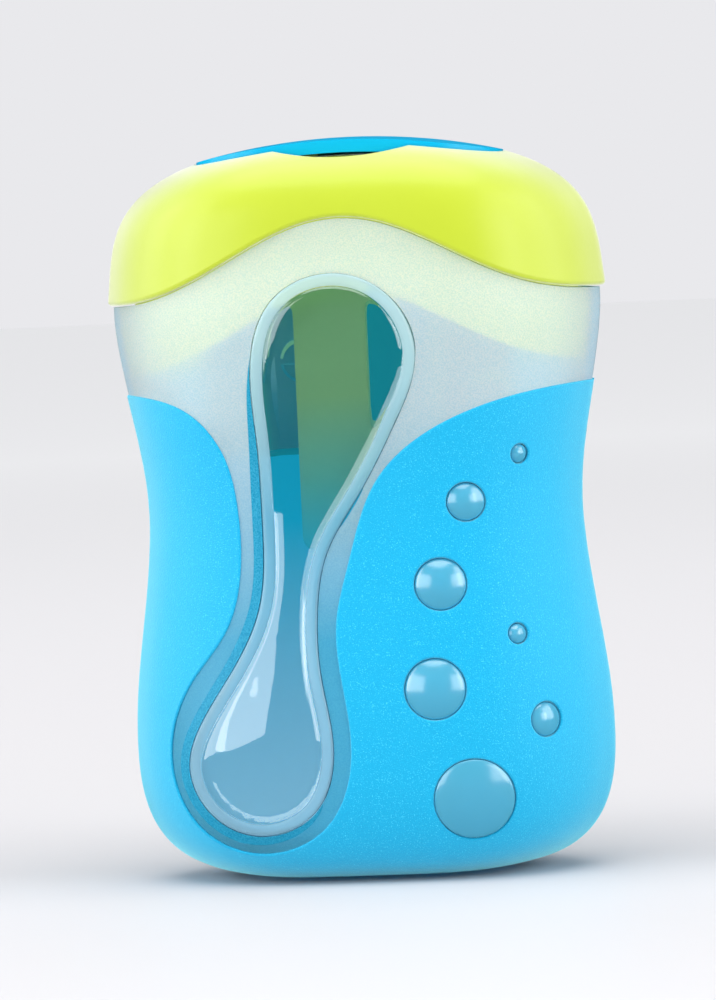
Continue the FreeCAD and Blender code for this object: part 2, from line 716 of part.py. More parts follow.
def make_block(name):
    """A wedge-shaped block with a conical pencil seat that breaks through its front face."""
    sizes = block_geometry(name)
    body = doc.addObject("PartDesign::Body", name + "_block")
    profile = sketch_on(body, name + "_profile", "YZ_Plane")
    closed_outline(profile, [(sizes["top_front"], 0), (sizes["top_front"], sizes["neck_z"] * COLLAR_SHARE),
                             (sizes["neck_front"], sizes["neck_z"]),
                             (sizes["bottom_front"], -sizes["height"]),
                             (sizes["back"], -sizes["height"]), (sizes["back"], 0)])
    pad = body.newObject("PartDesign::Pad", name + "_pad")
    pad.Profile = profile
    pad.setExpression("Length", "Sheet.%s_block_width" % name)
    pad.Midplane = True
    doc.recompute()

    cone = sketch_on(body, name + "_cone", "XZ_Plane")
    past = 0.5
    closed_outline(cone, [(0, past), (sizes["hole_radius"], past),
                          (sizes["hole_radius"], sizes["neck_z"]),
                          (sizes["tip_radius"], -sizes["height"] - past),
                          (0, -sizes["height"] - past)])
    groove = body.newObject("PartDesign::Groove", name + "_seat")
    groove.Profile = cone
    groove.ReferenceAxis = (cone, ["V_Axis"])
    groove.Angle = 360
    doc.recompute()
    body.Tip = groove
    bind(body, Placement__Base__x="Sheet.%s_x" % name,
         Placement__Base__z="Sheet.cap_ceiling - Sheet.plate_thickness")
    add_screw_seat(name, body)


def add_screw_seat(name, body):
    """The block with the hole that its blade screw goes into."""
    frame, _ = blade_frame(name)
    hole = doc.addObject("Part::Cylinder", name + "_screw_hole")
    bind(hole, Radius="Sheet.screw_radius", Height="Sheet.screw_length")
    hole.Placement = frame.multiply(Placement(Vector(screw_offset(name), 0, -size("screw_length")),
                                              Rotation()))
    block = doc.addObject("Part::Cut", "sharpener_" + name)
    block.Label = "sharpener_" + name
    block.Base = body
    block.Tool = hole


def blade_frame(name):
    """Placement of the blade's face: origin at its middle, Y along the slanted face, Z outwards."""
    sizes = block_geometry(name)
    top = Vector(0, sizes["neck_front"], sizes["neck_z"])
    bottom = Vector(0, sizes["bottom_front"], -sizes["height"])
    along = (top - bottom).normalize()
    outward = RIGHT.cross(along)
    rotation = Rotation(RIGHT, along, outward, "XYZ")
    middle = (top + bottom) * 0.5
    origin = Vector(size(name + "_x"), 0, size("cap_ceiling") - size("plate_thickness"))
    return Placement(origin + middle, rotation), (top - bottom).Length


BLADE_SHARE = 0.92  # the blade's length as a share of the slanted face
BLADE_EDGE = 0.15  # the cutting edge's distance from the pencil line
BLADE_BEVEL = 1.1
BLADE_INSET = 0.5  # how much narrower the blade is than its half of the block
SCREW_INSET = 2.2  # the screw's distance from the block's side


def make_blade(name):
    """A ground steel blade beside the pencil line, with a bevelled edge and a screw hole."""
    frame, face_length = blade_frame(name)
    thickness = size("blade_thickness")
    outer_x = BLADE_EDGE + size(name + "_block_width") / 2.0 - BLADE_INSET
    length = face_length * BLADE_SHARE
    corners = [Vector(BLADE_EDGE, 0, 0), Vector(outer_x, 0, 0),
               Vector(outer_x, 0, thickness), Vector(BLADE_EDGE + BLADE_BEVEL, 0, thickness)]
    face = Part.Face(Part.makePolygon(corners + corners[:1]))
    face.translate(Vector(0, -length / 2, 0))
    blade = face.extrude(Vector(0, length, 0))
    hole = Part.makeCylinder(size("screw_radius") + 0.1, 4, Vector(screw_offset(name), 0, -2), UP)
    blade = blade.cut(hole)
    blade.Placement = frame.multiply(blade.Placement)
    add_shape("blade_" + name, blade)


def screw_offset(name):
    """Distance of the blade screw from the pencil line."""
    return size(name + "_block_width") / 2.0 - SCREW_INSET


HEAD_HEIGHT = 0.9
SLOT_LENGTH, SLOT_WIDTH = 6.0, 0.6


def screw_shape():
    """A slotted screw with a chamfered head, the head's underside at z = 0."""
    head_height = HEAD_HEIGHT
    head = Part.makeCylinder(size("screw_head_radius"), head_height, Vector(), UP)
    head = head.makeChamfer(0.3, [edge for edge in head.Edges if edge.BoundBox.ZMin > 0.5
                                  and edge.BoundBox.ZLength < 0.01])
    depth = size("screw_length") + size("blade_thickness")
    shank = Part.makeCylinder(size("screw_radius"), depth, Vector(0, 0, -depth), UP)
    slot = Part.makeBox(SLOT_LENGTH, SLOT_WIDTH, head_height,
                        Vector(-SLOT_LENGTH / 2, -SLOT_WIDTH / 2, head_height / 2))
    return head.fuse(shank).cut(slot).removeSplitter()


def make_screws():
    """The two blade screws."""
    screws = []
    for name in ("standard", "jumbo"):
        frame, _ = blade_frame(name)
        screw = screw_shape()
        seat = Placement(Vector(screw_offset(name), 0, size("blade_thickness")), Rotation())
        screw.Placement = frame.multiply(seat)
        screws.append(screw)
    add_shape("blade_screws", Part.makeCompound(screws))


make_canister()
make_cap()
make_cover()
make_hinge_pin()
make_carrier()
for name in ("standard", "jumbo"):
    make_block(name)
    make_blade(name)
make_screws()
doc.recompute()

# ---------------------------------------------------------------- check and write
NODES = ["canister_shell", "grip_overmould", "window_lens"]
NODES += ["bubble_%d" % index for index in range(1, len(DOMES) + 1)]
NODES += ["cap_shell", "carrier", "flip_cover", "hinge_pin", "sharpener_standard",
          "sharpener_jumbo", "blade_standard", "blade_jumbo", "blade_screws"]

for item in doc.Objects:
    if "Invalid" in item.State or "Error" in item.State:
        raise RuntimeError("%s failed: %s" % (item.Label, item.State))

os.makedirs("parts", exist_ok=True)
for label in NODES:
    node = doc.getObjectsByLabel(label)[0]
    if node.Shape.isNull() or not node.Shape.isValid():
        raise RuntimeError(label + " has no valid shape")
    box = node.Shape.BoundBox
    print("%-20s %2d solids  %8.1f mm3  x %.1f..%.1f  y %.1f..%.1f  z %.1f..%.1f" % (
        label, len(node.Shape.Solids), node.Shape.Volume,
        box.XMin, box.XMax, box.YMin, box.YMax, box.ZMin, box.ZMax))
    node.Shape.exportStep("parts/%s.step" % label)
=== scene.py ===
"""Looks of the two-size canister pencil sharpener."""
import math

import bmesh
import bpy
import numpy as np
from mathutils import Matrix, Vector
from mathutils.geometry import delaunay_2d_cdt


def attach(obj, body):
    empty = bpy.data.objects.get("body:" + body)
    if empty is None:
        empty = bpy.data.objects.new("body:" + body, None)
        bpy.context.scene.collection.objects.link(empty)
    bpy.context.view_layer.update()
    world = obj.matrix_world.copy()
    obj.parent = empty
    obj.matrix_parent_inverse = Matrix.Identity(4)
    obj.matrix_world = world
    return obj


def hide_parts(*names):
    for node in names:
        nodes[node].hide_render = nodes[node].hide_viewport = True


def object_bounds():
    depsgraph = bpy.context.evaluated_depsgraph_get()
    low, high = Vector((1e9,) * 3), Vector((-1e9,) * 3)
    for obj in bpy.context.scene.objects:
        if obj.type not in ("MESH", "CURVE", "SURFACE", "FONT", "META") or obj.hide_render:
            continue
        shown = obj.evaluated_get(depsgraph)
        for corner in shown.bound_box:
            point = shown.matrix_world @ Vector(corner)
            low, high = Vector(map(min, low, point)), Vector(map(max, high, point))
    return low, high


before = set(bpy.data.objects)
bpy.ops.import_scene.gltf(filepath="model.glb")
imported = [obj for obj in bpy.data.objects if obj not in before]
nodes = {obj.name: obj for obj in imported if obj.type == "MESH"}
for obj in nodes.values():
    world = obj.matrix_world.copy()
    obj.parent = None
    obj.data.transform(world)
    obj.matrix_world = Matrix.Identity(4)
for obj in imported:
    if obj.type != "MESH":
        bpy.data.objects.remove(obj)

MM = 0.001  # metres
WHITE = (1.0, 1.0, 1.0)
cad_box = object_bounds()


# ---------------------------------------------------------------- material helpers
class Surface:
    """A Principled material. Its textures use the object's own coordinates."""

    def __init__(self, name, colour, roughness):
        self.material = bpy.data.materials.new(name)
        self.material.use_nodes = True
        self.tree = self.material.node_tree
        self.shader = self.tree.nodes["Principled BSDF"]
        self.shader.inputs["Base Color"].default_value = (*colour, 1.0)
        self.shader.inputs["Roughness"].default_value = roughness
        self.place = self.tree.nodes.new("ShaderNodeTexCoord").outputs["Object"]
        self.normal = None

    def set(self, **values):
        """Sets the shader's own sockets: an underscore stands for a space."""
        for name, value in values.items():
            self.shader.inputs[name.replace("_", " ")].default_value = value
        return self

    def noise(self, scale, detail=3.0, stretch=(1.0, 1.0, 1.0)):
        """Noise with scale features per metre."""
        mapping = self.tree.nodes.new("ShaderNodeMapping")
        mapping.inputs["Scale"].default_value = stretch
        texture = self.tree.nodes.new("ShaderNodeTexNoise")
        texture.inputs["Scale"].default_value = scale
        texture.inputs["Detail"].default_value = detail
        self.tree.links.new(self.place, mapping.inputs["Vector"])
        self.tree.links.new(mapping.outputs["Vector"], texture.inputs["Vector"])
        return texture.outputs["Fac"]

    def cells(self, scale):
        """Small rounded cells, scale of them per metre."""
        texture = self.tree.nodes.new("ShaderNodeTexVoronoi")
        texture.inputs["Scale"].default_value = scale
        self.tree.links.new(self.place, texture.inputs["Vector"])
        return texture.outputs["Distance"]

    def height(self, low_z, high_z):
        """0 at low_z and 1 at high_z, both in metres."""
        axes = self.tree.nodes.new("ShaderNodeSeparateXYZ")
        node = self.tree.nodes.new("ShaderNodeMapRange")
        node.inputs["From Min"].default_value = low_z
        node.inputs["From Max"].default_value = high_z
        self.tree.links.new(self.place, axes.inputs["Vector"])
        self.tree.links.new(axes.outputs["Z"], node.inputs["Value"])
        return node.outputs["Result"]

    def ramp(self, source, stops):
        """Source turned into colours given as (position, (r, g, b))."""
        node = self.tree.nodes.new("ShaderNodeValToRGB")
        points = node.color_ramp.elements
        while len(points) < len(stops):
            points.new(0.5)
        for point, (position, colour) in zip(points, stops):
            point.position = position
            point.color = (*colour, 1.0)
        self.tree.links.new(source, node.inputs["Fac"])
        return node.outputs["Color"]

    def product(self, first, second):
        """Two colours multiplied."""
        node = self.tree.nodes.new("ShaderNodeVectorMath")
        node.operation = "MULTIPLY"
        self.tree.links.new(first, node.inputs[0])
        self.tree.links.new(second, node.inputs[1])
        return node.outputs["Vector"]

    def colour(self, source):
        """Base colour from source."""
        self.tree.links.new(source, self.shader.inputs["Base Color"])
        return self

    def glow(self, source, strength):
        """Emission coloured by source."""
        self.tree.links.new(source, self.shader.inputs["Emission Color"])
        return self.set(Emission_Strength=strength)

    def roughness(self, source, low, high):
        """Roughness from low to high as source goes from 0.3 to 0.7."""
        node = self.tree.nodes.new("ShaderNodeMapRange")
        node.inputs["From Min"].default_value = 0.3
        node.inputs["From Max"].default_value = 0.7
        node.inputs["To Min"].default_value = low
        node.inputs["To Max"].default_value = high
        self.tree.links.new(source, node.inputs["Value"])
        self.tree.links.new(node.outputs["Result"], self.shader.inputs["Roughness"])
        return self

    def bump(self, source, depth_mm, strength=1.0):
        """Raises the surface by depth_mm where source is 1."""
        node = self.tree.nodes.new("ShaderNodeBump")
        node.inputs["Distance"].default_value = depth_mm * MM
        node.inputs["Strength"].default_value = strength
        self.tree.links.new(source, node.inputs["Height"])
        if self.normal:
            self.tree.links.new(self.normal, node.inputs["Normal"])
        self.normal = node.outputs["Normal"]
        self.tree.links.new(self.normal, self.shader.inputs["Normal"])
        return self


def frosted_plastic():
    """Frosted and clear. Bluer low down, between the blue halves of the grip: painted light, the
    grip's blue scattered in the frosted wall.
    """
    surface = Surface("frosted_plastic", (0.80, 0.94, 0.98), 0.32)
    grain = surface.ramp(surface.noise(7000.0, 1.0), [(0.35, (0.72, 0.88, 0.94)),
                                                      (0.68, (0.97, 1.0, 1.0))])
    # painted light: bluer low down, for the grip's blue scattered through the frosted wall
    painted_light_by_height = surface.ramp(surface.height(24 * MM, 47 * MM), [(0.0, (0.13, 0.60, 0.80)),
                                                                (1.0, WHITE)])
    surface.colour(surface.product(grain, painted_light_by_height))
    surface.set(Transmission_Weight=0.62, IOR=1.3)
    surface.bump(surface.noise(7000.0, 2.0), 0.03)
    return surface.material


def inner_wall(name, low_z, high_z):
    """Inside of the canister, with a painted glow for the daylight that its walls let through,
    turning darker and bluer near the top as painted shade.
    """
    surface = Surface(name, (0.10, 0.55, 0.75), 0.5)
    height = surface.height(low_z, high_z)
    # painted light and shade: a glow by height, darker and bluer towards the top
    surface.glow(surface.ramp(height, [(0.0, (0.34, 0.62, 0.76)), (0.30, (0.16, 0.52, 0.70)),
                                       (0.55, (0.0, 0.40, 0.58)), (0.85, (0.0, 0.26, 0.36))]), 0.65)
    surface.bump(surface.noise(2500.0), 0.02)
    return surface.material


def post_plastic():
    """The green post, with painted light: its colour and glow turn to the teal of the light behind
    it towards its lower end.
    """
    surface = Surface("green_post", (0.20, 0.42, 0.16), 0.5)
    height = surface.height(32 * MM, 48 * MM)
    # painted light: colour and glow turn teal towards the lower end
    surface.colour(surface.ramp(height, [(0.0, (0.0, 0.30, 0.42)), (0.45, (0.06, 0.36, 0.28)),
                                         (1.0, (0.22, 0.46, 0.20))]))
    surface.glow(surface.ramp(height, [(0.0, (0.0, 0.38, 0.56)), (0.5, (0.06, 0.30, 0.28)),
                                       (1.0, (0.10, 0.26, 0.13))]), 0.65)
    surface.bump(surface.noise(2500.0), 0.01)
    return surface.material


def rim_plastic():
    """The window's polished rim, with painted light and shade by height: darker low down, palest at
    the top.
    """
    surface = Surface("rim_plastic", (0.45, 0.68, 0.76), 0.22)
    cloud = surface.ramp(surface.noise(90.0), [(0.3, (0.92, 0.94, 0.96)), (0.7, WHITE)])
    # painted shade low down and painted light at the top
    painted_light_by_height = surface.ramp(surface.height(14 * MM, 54 * MM), [(0.0, (0.26, 0.50, 0.64)),
                                                                (0.55, (0.18, 0.44, 0.58)),
                                                                (1.0, (0.52, 0.74, 0.76))])
    surface.colour(surface.product(cloud, painted_light_by_height))
    surface.set(Transmission_Weight=0.35, IOR=1.4)
    surface.bump(surface.noise(900.0), 0.01)
    return surface.material


def clear_plastic(name, colour, roughness, clearness):
    """Polished plastic that lets through the share of light given by clearness."""
    surface = Surface(name, colour, roughness)
    surface.set(Transmission_Weight=clearness, IOR=1.45)
    surface.set(Coat_Weight=1.0, Coat_IOR=1.6, Coat_Roughness=roughness)
    surface.bump(surface.noise(120.0, 1.0), 0.02)
    return surface.material


def grip_rubber():
    """Soft blue rubber, with fine pale specks painted into its colour as sparkle."""
    surface = Surface("grip_rubber", (0.0, 0.38, 0.66), 0.46)
    # painted sparkle: a few pale specks in the colour
    surface.colour(surface.ramp(surface.noise(9000.0, 1.0), [(0.35, (0.0, 0.34, 0.62)),
                                                             (0.62, (0.0, 0.38, 0.65)),
                                                             (0.75, (0.06, 0.58, 0.80))]))
    surface.set(Sheen_Weight=1.0, Sheen_Roughness=0.5, Sheen_Tint=(0.4, 0.95, 1.0, 1.0))
    surface.set(Specular_IOR_Level=0.14)
    surface.bump(surface.cells(6000.0), 0.02)
    return surface.material


def lime_plastic(name, roughness, painted_glow=0.0):
    """Lime plastic. The last argument sets a painted glow that stands in for the daylight the
    canister's walls let through to it.
    """
    surface = Surface(name, (0.42, 0.52, 0.01), roughness)
    surface.colour(surface.ramp(surface.noise(40.0), [(0.3, (0.41, 0.51, 0.008)),
                                                      (0.7, (0.44, 0.54, 0.012))]))
    surface.set(Sheen_Weight=1.0, Sheen_Roughness=0.5, Specular_IOR_Level=0.3)
    # painted light: a glow for the daylight in the canister
    if painted_glow:
        surface.glow(surface.ramp(surface.noise(40.0), [(0.3, (0.54, 0.60, 0.14)),
                                                        (0.7, (0.58, 0.64, 0.18))]), painted_glow)
    surface.bump(surface.noise(2500.0), 0.006)
    return surface.material


def cover_plastic():
    """Satin blue plastic of the flip cover."""
    surface = Surface("cover_plastic", (0.0, 0.50, 0.82), 0.3)
    surface.colour(surface.ramp(surface.noise(50.0), [(0.3, (0.0, 0.38, 0.66)),
                                                      (0.7, (0.0, 0.42, 0.72))]))
    surface.set(Specular_IOR_Level=0.2)
    surface.bump(surface.noise(2500.0), 0.006)
    return surface.material


def block_plastic():
    """Dark teal: the shade inside the canister painted into the colour, with a painted glow for
    some of the daylight in the canister.
    """
    surface = Surface("block_plastic", (0.01, 0.12, 0.15), 0.4)
    # painted shade: the dark teal colour; painted light: the glow below
    surface.colour(surface.ramp(surface.noise(80.0), [(0.3, (0.005, 0.11, 0.15)),
                                                      (0.7, (0.01, 0.14, 0.18))]))
    surface.glow(surface.ramp(surface.noise(40.0), [(0.3, (0.0, 0.13, 0.17)),
                                                    (0.7, (0.0, 0.17, 0.22))]), 1.3)
    surface.bump(surface.noise(2500.0), 0.01)
    return surface.material


def metal(name, colour, low, high, stretch):
    """Ground metal, rough from low to high, with a painted teal glow standing in for the light in
    the canister.
    """
    surface = Surface(name, colour, low)
    surface.set(Metallic=1.0)
    # painted light: a teal glow
    surface.glow(surface.ramp(surface.noise(40.0), [(0.3, (0.0, 0.10, 0.13)),
                                                    (0.7, (0.0, 0.14, 0.18))]), 0.8)
    grain = surface.noise(900.0, 4.0, stretch)
    surface.roughness(grain, low, high)
    surface.bump(grain, 0.01)
    return surface.material


def groove_shade():
    """Frosted plastic darkened with painted shade."""
    surface = Surface("groove_shade", (0.0, 0.32, 0.52), 0.4)
    surface.colour(surface.ramp(surface.noise(7000.0, 1.0), [(0.35, (0.0, 0.26, 0.46)),
                                                             (0.7, (0.03, 0.42, 0.62))]))
    surface.set(Transmission_Weight=0.25, IOR=1.3)
    surface.bump(surface.noise(7000.0, 2.0), 0.02)
    return surface.material


def paint(material, *names):
    """Gives whole pieces one material."""
    for name in names:
        slots = nodes[name].data.materials
        if not slots:
            slots.append(material)
        for index in range(len(slots)):
            slots[index] = material


def paint_where(material, name, chosen):
    """Paints the faces chosen by their middle, in mm, and their normal."""
    piece = nodes[name]
    slots = piece.data.materials
    slots.append(material)
    turn = piece.matrix_world.to_3x3()
    for polygon in piece.data.polygons:
        if chosen(piece.matrix_world @ polygon.center / MM, turn @ polygon.normal):
            polygon.material_index = len(slots) - 1


# ---------------------------------------------------------------- the canister's form, in mm
BELLY, WAIST, SHOULDER = (13.8, 24.05), (36.5, 21.8), (57.4, 24.6)  # height, half width
BASE_POWER, BASE_ROOT = 2.6, 0.2  # how round the sides turn in to the base
BASE_EASE = 0.1  # keeps the base from closing to a point
DEPTH_RATIO = 0.556  # half depth for each mm of half width
PLAN_POWER, PLAN_ROOT = 4, 1.28  # of the rounded plan
NORMAL_STEP = 0.2


def smooth_step(share):
    share = min(max(share, 0.0), 1.0)
    return share * share * (3.0 - 2.0 * share)


def half_width(z):
    """Half the canister's width at a height."""
    if z < BELLY[0]:
        drop = (BELLY[0] - z) / (BELLY[0] + BASE_EASE)
        return BELLY[1] * (1.0 - drop ** BASE_POWER) ** BASE_ROOT
    low, high = (BELLY, WAIST) if z < WAIST[0] else (WAIST, SHOULDER)
    return low[1] + (high[1] - low[1]) * smooth_step((z - low[0]) / (high[0] - low[0]))


def front_point(x, z):
    """Point of the canister's front."""
    wide = half_width(z)
    share = max(1.0 - abs(x / wide) ** PLAN_POWER, 0.0) ** (1.0 / PLAN_ROOT)
    return Vector((x, -wide * DEPTH_RATIO * share, z))


def front_normal(x, z):
    """Outward normal of the canister's front."""
    across = front_point(x + NORMAL_STEP, z) - front_point(x - NORMAL_STEP, z)
    upward = front_point(x, z + NORMAL_STEP) - front_point(x, z - NORMAL_STEP)
    return across.cross(upward).normalized()


def raised(x, z, height):
    """Point above the canister's front, in metres."""
    return (front_point(x, z) + front_normal(x, z) * height) * MM


def bulb(x, z, radius, degrees):
    """Points at these angles of a circle."""
    return [(x + radius * math.cos(math.radians(angle)), z + radius * math.sin(math.radians(angle)))
            for angle in degrees]


def hermite(u, start, end, start_slope, end_slope):
    """Place and direction at share u of a cubic from start to end."""
    place = ((2 * u**3 - 3 * u**2 + 1) * start + (3 * u**2 - 2 * u**3) * end
             + (u**3 - 2 * u**2 + u) * start_slope + (u**3 - u**2) * end_slope)
    along = ((6 * u**2 - 6 * u) * (start - end)
             + (3 * u**2 - 4 * u + 1) * start_slope + (3 * u**2 - 2 * u) * end_slope)
    return place, along / np.linalg.norm(along)


def spline_slopes(points, chord):
    """Slopes that make the closed curve through points smooth."""
    total = len(points)
    behind = np.roll(chord, 1)
    system = np.zeros((total, total))
    right = np.zeros((total, 2))
    for index in range(total):
        before, after = (index - 1) % total, (index + 1) % total
        system[index, before] += chord[index]
        system[index, index] += 2.0 * (chord[index] + behind[index])
        system[index, after] += behind[index]
        right[index] = 3.0 * (chord[index] / behind[index] * (points[index] - points[before])
                              + behind[index] / chord[index] * (points[after] - points[index]))
    return np.linalg.solve(system, right)


def closed_spline(points, count):
    """Points and outward normals of the smooth closed curve through points, turning left."""
    points = np.array(points)
    chord = np.linalg.norm(np.roll(points, -1, axis=0) - points, axis=1)
    slopes = spline_slopes(points, chord)
    stations = np.concatenate([[0.0], np.cumsum(chord)])
    places, normals = [], []
    for length in np.linspace(0.0, stations[-1], count, endpoint=False):
        index = int(np.searchsorted(stations, length, side="right") - 1)
        after = (index + 1) % len(points)
        span = chord[index]
        place, along = hermite((length - stations[index]) / span, points[index], points[after],
                               span * slopes[index], span * slopes[after])
        places.append(place)
        normals.append((along[1], -along[0]))
    return np.array(places), np.array(normals)


OUTLINE_POINTS = 320


def window_outline():
    """The pane's outline seen from the front: a leaning drop."""
    upper = bulb(-1.1, 51.9, 6.9, (0, 45, 90, 135, 180))
    left_side = [(-7.9, 44.0), (-7.75, 36.0), (-8.5, 27.0), (-11.5, 20.9), (-15.0, 15.7)]
    lower = bulb(-10.2, 12.3, 6.2, (185, 225, 270, 315, 360))
    right_side = [(-4.8, 20.0), (-5.0, 27.0), (-3.8, 33.0), (-0.4, 38.7), (4.0, 46.5)]
    return closed_spline(upper + left_side + lower + right_side, OUTLINE_POINTS)


# ---------------------------------------------------------------- the window
# Height of the lens over the canister's form, by distance outside the pane's outline.
LENS_SECTION = [(1.23, -0.55), (1.20, -0.30), (1.14, -0.16), (1.02, -0.09), (0.75, -0.09),
                (0.40, -0.13), (0.18, -0.17), (0.08, -0.21), (0.0, -0.24), (-0.08, -0.22),
                (-0.16, -0.15), (-0.30, -0.06), (-0.55, 0.0), (-0.95, 0.04)]
RIM_RINGS = 9  # how many bands, counted from the back, belong to the rim
LENS_THICKNESS = 2.0
GRID_STEP = 0.5
GRID_MARGIN = 1.3  # how far the pane's inner points stay from its outline
BACK_EVERY = 4  # the back uses one in so many of the front's inner points
WELD = 1e-5  # points closer than this count as one
CROWN = 0.48  # mm, height of the pane's lower bulge
CROWN_REACH = 6.0  # mm from the outline to its top
CROWN_LOW, CROWN_HIGH = 17.0, 28.0  # it fades out between these heights


def crown(z, depth):
    """Extra height of the pane, depth mm inside its outline."""
    share = min(max(depth / CROWN_REACH, 0.0), 1.0)
    fade = smooth_step((CROWN_HIGH - z) / (CROWN_HIGH - CROWN_LOW))
    return CROWN * (1.0 - (1.0 - share) ** 2) * fade


def finished(name, mesh, *materials):
    """The mesh as a smooth object with its materials."""
    bmesh.ops.recalc_face_normals(mesh, faces=mesh.faces)
    data = bpy.data.meshes.new(name)
    mesh.to_mesh(data)
    mesh.free()
    data.shade_smooth()
    for material in materials:
        data.materials.append(material)
    piece = bpy.data.objects.new(name, data)
    bpy.context.scene.collection.objects.link(piece)
    return piece


def pane_grid(places, normals):
    """Points inside the outline, each with its distance from it."""
    low, high = places.min(axis=0), places.max(axis=0)
    grid = []
    for x in np.arange(low[0], high[0], GRID_STEP):
        for z in np.arange(low[1], high[1], GRID_STEP):
            gaps = places - (x, z)
            distances = np.hypot(gaps[:, 0], gaps[:, 1])
            nearest = int(np.argmin(distances))
            inside = np.dot(gaps[nearest], normals[nearest]) > 0.0
            if inside and distances[nearest] > GRID_MARGIN:
                grid.append((Vector((x, z)), distances[nearest]))
    return grid


def pane_faces(points):
    """Triangles over points, whose first ones are the outline."""
    outline = [(index, (index + 1) % OUTLINE_POINTS) for index in range(OUTLINE_POINTS)]
    return delaunay_2d_cdt(points, outline, [], 1, WELD)[2]


def window_glass():
    """The clear window: crowned pane, a groove round it, a polished rim and a square back."""
    places, normals = window_outline()
    rings = [places + normals * offset for offset, _ in LENS_SECTION]
    inner = [Vector(point) for point in rings[-1]]
    grid = pane_grid(places, normals)
    grid_points = [point for point, _ in grid]

    mesh = bmesh.new()
    front = []
    for ring, (offset, height) in zip(rings, LENS_SECTION):
        front.append([mesh.verts.new(raised(x, z, height + crown(z, -offset))) for x, z in ring])
    edge_height = LENS_SECTION[-1][1]
    middle = [mesh.verts.new(raised(point.x, point.y, edge_height + crown(point.y, depth)))
              for point, depth in grid]
    sheet = front[-1] + middle
    for face in pane_faces(inner + grid_points):
        mesh.faces.new([sheet[index] for index in face])

    behind = [Vector(point) for point in rings[0]] + inner[::BACK_EVERY] + grid_points
    back = [mesh.verts.new(raised(point.x, point.y, -LENS_THICKNESS)) for point in behind]
    for face in pane_faces(behind):
        mesh.faces.new([back[index] for index in reversed(face)])

    front.insert(0, back[:OUTLINE_POINTS])
    for row, (outer, inside) in enumerate(zip(front, front[1:])):
        for index in range(OUTLINE_POINTS):
            after = (index + 1) % OUTLINE_POINTS
            face = mesh.faces.new((outer[index], outer[after], inside[after], inside[index]))
            face.material_index = 1 if row < RIM_RINGS else 0
    pane = clear_plastic("window_plastic", (0.93, 0.98, 1.0), 0.03, 1.0)
    piece = finished("window_glass", mesh, pane, rim_plastic())
    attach(piece, "canister")
    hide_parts("window_lens")


GROOVE_START = 1.25  # distance outside the pane's outline
GROOVE_WIDTH = 0.95
GROOVE_LEVEL = -0.17  # height over the canister's form
GROOVE_TOP, GROOVE_FADE = 52.0, 14.0
GROOVE_EVEN, GROOVE_LEFT, GROOVE_BELOW = 0.45, 0.75, 0.35  # shares of its shade


def groove_weight(z, normal):
    """How deep in shade the channel round the window lies: most on its left and lower side."""
    shade = GROOVE_EVEN - GROOVE_LEFT * normal[0] - GROOVE_BELOW * normal[1]
    side = min(max(shade, 0.0), 1.0)
    return side * smooth_step((GROOVE_TOP - z) / GROOVE_FADE)


def window_groove():
    """A dark sheet of painted shade in the channel between the window's rim and the frosted border,
    widest where the channel lies deepest in shade.
    """
    places, normals = window_outline()
    mesh = bmesh.new()
    rows = []
    for place, normal in zip(places, normals):
        width = GROOVE_WIDTH * math.sqrt(groove_weight(place[1], normal))
        reach = [place + normal * (GROOVE_START + share * width) for share in (0.0, 0.5, 1.0)]
        rows.append([mesh.verts.new(raised(x, z, GROOVE_LEVEL)) for x, z in reach])
    for row, following in zip(rows, rows[1:] + rows[:1]):
        for step in (0, 1):
            mesh.faces.new((row[step], row[step + 1], following[step + 1], following[step]))
    piece = finished("window_groove", mesh, groove_shade())
    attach(piece, "canister")


# ---------------------------------------------------------------- the domes
# (x, z, radius), from the top one to the large one at the base.
DOMES = [(16.5, 41.5, 1.0), (11.2, 37.1, 1.95), (8.4, 29.2, 2.6), (15.7, 24.0, 1.05),
         (7.5, 19.0, 3.05), (18.1, 15.4, 1.75), (10.9, 8.0, 4.0)]
DOME_SUNK = 0.32  # how far a dome's edge lies below the grip
DOME_FOOT = 0.78  # depth of its flat back
DOME_PLAY = 0.06  # gap to the hole's wall
DOME_POWER = 2.1  # how full its curve is
DOME_RINGS, DOME_SIDES = 14, 56
DOME_TOP_MOST = 0.5  # height of its top over the grip
DOME_TOP_SHARE, DOME_TOP_LEAST = 0.17, 0.02  # how the top grows with the radius
DOME_SHOULDER = 0.985  # where its curve starts, as a share of the radius


